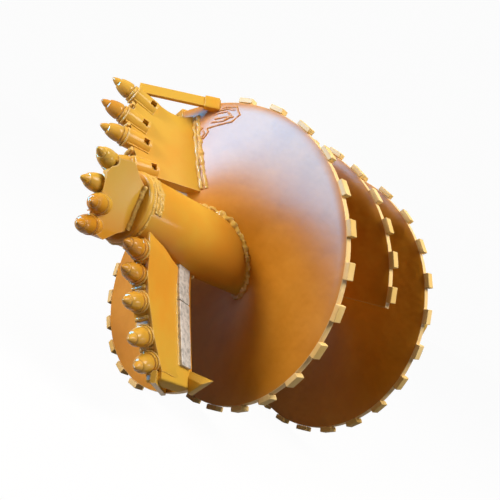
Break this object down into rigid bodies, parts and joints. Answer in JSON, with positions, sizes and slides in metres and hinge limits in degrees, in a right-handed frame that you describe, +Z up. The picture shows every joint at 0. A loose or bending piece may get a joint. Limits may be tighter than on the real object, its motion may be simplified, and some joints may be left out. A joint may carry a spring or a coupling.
{
  "type": "rock auger",
  "caption": "Rock auger for rotary drilling: helical flights with wear blocks on a core tube, cutters and a pilot with turning bullet teeth, and a square drive box.",
  "frame": {"origin": "on the ground under the middle of the bounding box, with the tool lying on its wear blocks", "axes": "+X along the auger's axis from the pilot's tip to the drive box, +Z up"},
  "size_m": [1.85, 0.9962, 0.995],
  "materials": {
    "auger_paint": "gloss",
    "tooth_paint": "gloss",
    "bare_steel": "ground"
  },
  "bodies": {
    "auger": {"core_tube": "auger_paint", "tube_cap": "auger_paint", "drive_base": "auger_paint", "drive_box": "auger_paint", "drive_gussets": "auger_paint", "pilot_plate": "auger_paint", "flight_main_1": "auger_paint", "wear_blocks_main_1": "auger_paint", "flight_main_2": "auger_paint", "wear_blocks_main_2": "auger_paint", "flight_main_3": "auger_paint", "wear_blocks_main_3": "auger_paint", "flight_main_4": "auger_paint", "wear_blocks_main_4": "auger_paint", "flight_second_1": "auger_paint", "wear_blocks_second_1": "auger_paint", "flight_second_2": "auger_paint", "wear_blocks_second_2": "auger_paint", "cutter_plate_upper": "auger_paint", "cutter_sleeves_upper": "auger_paint", "gauge_bar_upper": "auger_paint", "gauge_wing_upper": "auger_paint", "edge_strips_upper": "bare_steel", "cutter_plate_lower": "auger_paint", "cutter_sleeves_lower": "auger_paint", "gauge_bar_lower": "auger_paint", "gauge_wing_lower": "auger_paint", "edge_strips_lower": "bare_steel", "pilot_sleeves": "auger_paint"},
    "tooth_upper_1": {"tooth_upper_1": "tooth_paint"},
    "tooth_upper_2": {"tooth_upper_2": "tooth_paint"},
    "tooth_upper_3": {"tooth_upper_3": "tooth_paint"},
    "tooth_upper_4": {"tooth_upper_4": "tooth_paint"},
    "tooth_lower_1": {"tooth_lower_1": "tooth_paint"},
    "tooth_lower_2": {"tooth_lower_2": "tooth_paint"},
    "tooth_lower_3": {"tooth_lower_3": "tooth_paint"},
    "tooth_lower_4": {"tooth_lower_4": "tooth_paint"},
    "tooth_lower_5": {"tooth_lower_5": "tooth_paint"},
    "tooth_pilot_1": {"tooth_pilot_1": "tooth_paint"},
    "tooth_pilot_2": {"tooth_pilot_2": "tooth_paint"},
    "tooth_pilot_3": {"tooth_pilot_3": "tooth_paint"},
    "tooth_pilot_4": {"tooth_pilot_4": "tooth_paint"}
  },
  "joints": [
    {"name": "tooth_upper_1_spin", "type": "hinge", "parent": "auger", "child": "tooth_upper_1", "pos_m": [-0.67546, 0.14413, 0.60425], "axis": [-0.9646, 0.153, -0.2148], "continuous": true},
    {"name": "tooth_upper_2_spin", "type": "hinge", "parent": "auger", "child": "tooth_upper_2", "pos_m": [-0.69865, 0.21577, 0.67171], "axis": [-0.9513, 0.3048, -0.0474], "continuous": true},
    {"name": "tooth_upper_3_spin", "type": "hinge", "parent": "auger", "child": "tooth_upper_3", "pos_m": [-0.69961, 0.27125, 0.73062], "axis": [-0.9133, 0.4011, 0.0705], "continuous": true},
    {"name": "tooth_upper_4_spin", "type": "hinge", "parent": "auger", "child": "tooth_upper_4", "pos_m": [-0.66677, 0.32877, 0.80496], "axis": [-0.8682, 0.4694, 0.1611], "continuous": true},
    {"name": "tooth_lower_1_spin", "type": "hinge", "parent": "auger", "child": "tooth_lower_1", "pos_m": [-0.7141, -0.13178, 0.41879], "axis": [-0.9623, -0.2478, 0.1125], "continuous": true},
    {"name": "tooth_lower_2_spin", "type": "hinge", "parent": "auger", "child": "tooth_lower_2", "pos_m": [-0.69565, -0.15149, 0.35716], "axis": [-0.9606, -0.2594, 0.0996], "continuous": true},
    {"name": "tooth_lower_3_spin", "type": "hinge", "parent": "auger", "child": "tooth_lower_3", "pos_m": [-0.68985, -0.20442, 0.29833], "axis": [-0.933, -0.3594, -0.0182], "continuous": true},
    {"name": "tooth_lower_4_spin", "type": "hinge", "parent": "auger", "child": "tooth_lower_4", "pos_m": [-0.66763, -0.26214, 0.22793], "axis": [-0.8956, -0.4312, -0.1096], "continuous": true},
    {"name": "tooth_lower_5_spin", "type": "hinge", "parent": "auger", "child": "tooth_lower_5", "pos_m": [-0.63962, -0.3002, 0.17627], "axis": [-0.8824, -0.4506, -0.1354], "continuous": true},
    {"name": "tooth_pilot_1_spin", "type": "hinge", "parent": "auger", "child": "tooth_pilot_1", "pos_m": [-0.84517, -0.01085, 0.58779], "axis": [-0.9336, -0.2712, 0.2343], "continuous": true},
    {"name": "tooth_pilot_2_spin", "type": "hinge", "parent": "auger", "child": "tooth_pilot_2", "pos_m": [-0.84517, -0.02062, 0.5235], "axis": [-0.9811, -0.1863, -0.0531], "continuous": true},
    {"name": "tooth_pilot_3_spin", "type": "hinge", "parent": "auger", "child": "tooth_pilot_3", "pos_m": [-0.85617, -0.07132, 0.47993], "axis": [-0.7821, -0.6229, 0.0167], "continuous": true},
    {"name": "tooth_pilot_4_spin", "type": "hinge", "parent": "auger", "child": "tooth_pilot_4", "pos_m": [-0.85217, -0.07034, 0.41875], "axis": [-0.8376, -0.5452, -0.0348], "continuous": true}
  ]
}
